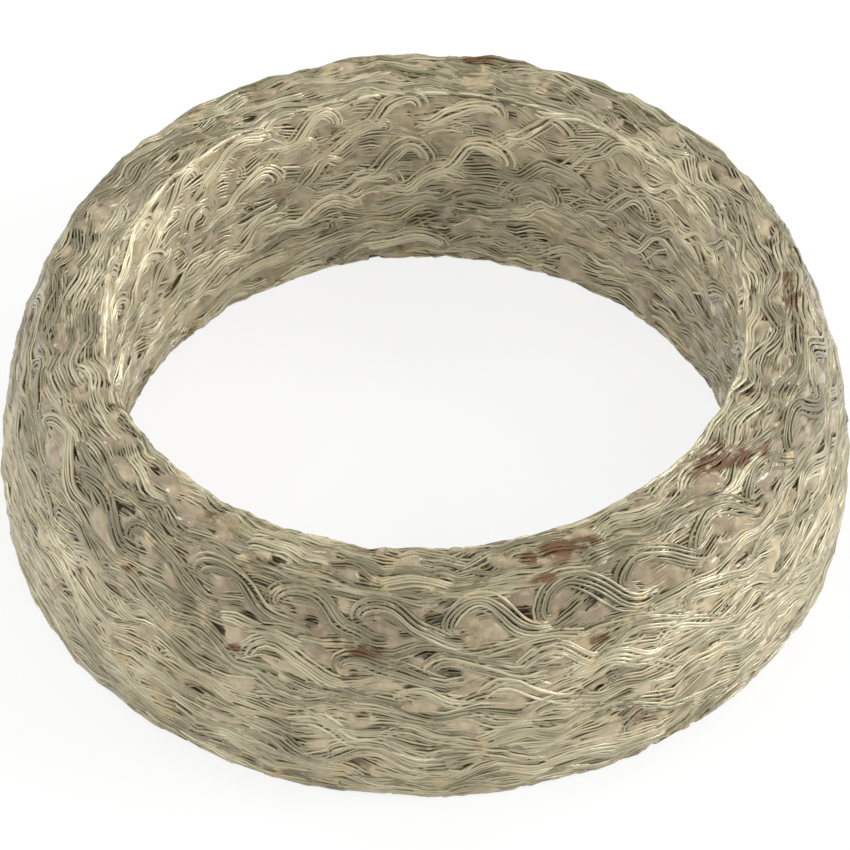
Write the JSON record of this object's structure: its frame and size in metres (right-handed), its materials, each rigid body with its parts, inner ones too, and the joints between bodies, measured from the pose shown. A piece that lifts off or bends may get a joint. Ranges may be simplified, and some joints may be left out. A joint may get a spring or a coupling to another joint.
{
  "type": "exhaust ring gasket",
  "caption": "Ball-seat exhaust ring gasket pressed from knitted steel wire mesh and filler, with a straight pipe bore.",
  "frame": {"origin": "on the ring's axis, in the plane of the wide bottom face", "axes": "+Z along the axis, from the wide face to the narrow top face"},
  "size_m": [0.0659, 0.066, 0.0185],
  "materials": {
    "wire_mesh": "satin knitted wire, dulled by its filler",
    "filler": "satin pressed mineral filler"
  },
  "bodies": {
    "root": {"gasket_ring": "wire_mesh"}
  },
  "joints": []
}
